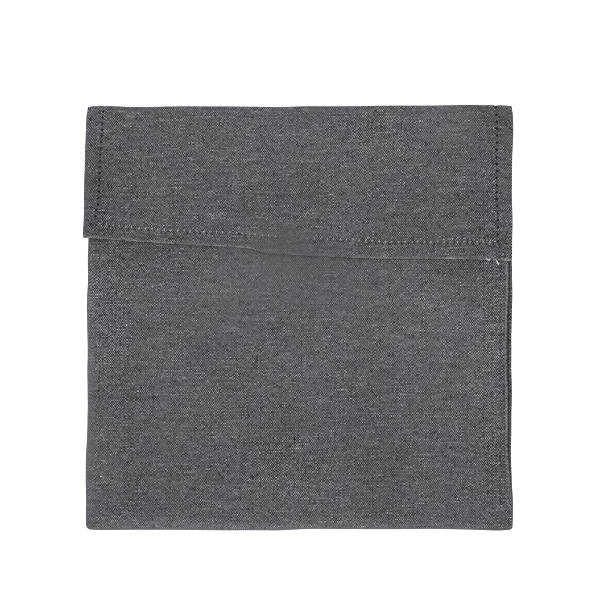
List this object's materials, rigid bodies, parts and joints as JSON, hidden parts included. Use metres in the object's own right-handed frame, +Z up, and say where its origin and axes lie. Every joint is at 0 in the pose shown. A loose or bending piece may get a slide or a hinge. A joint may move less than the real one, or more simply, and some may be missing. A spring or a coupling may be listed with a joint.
{
  "type": "reusable sandwich bag",
  "caption": "Square pocket of grey chambray sewn from one folded strip, with a slanted hemmed flap over its mouth, lying flat on its back panel.",
  "frame": {"origin": "middle of the underside, in the centre of the bag's outline", "axes": "+X across the bag to the right as seen from above, +Y from the foot to the crest where the flap folds over, +Z up from the underside to the flap"},
  "size_m": [0.1826, 0.1802, 0.0055],
  "materials": {
    "grey_chambray": "matt plain weave of dark warp and pale weft threads"
  },
  "bodies": {
    "root": {"bag_cloth": "grey_chambray"}
  },
  "joints": []
}
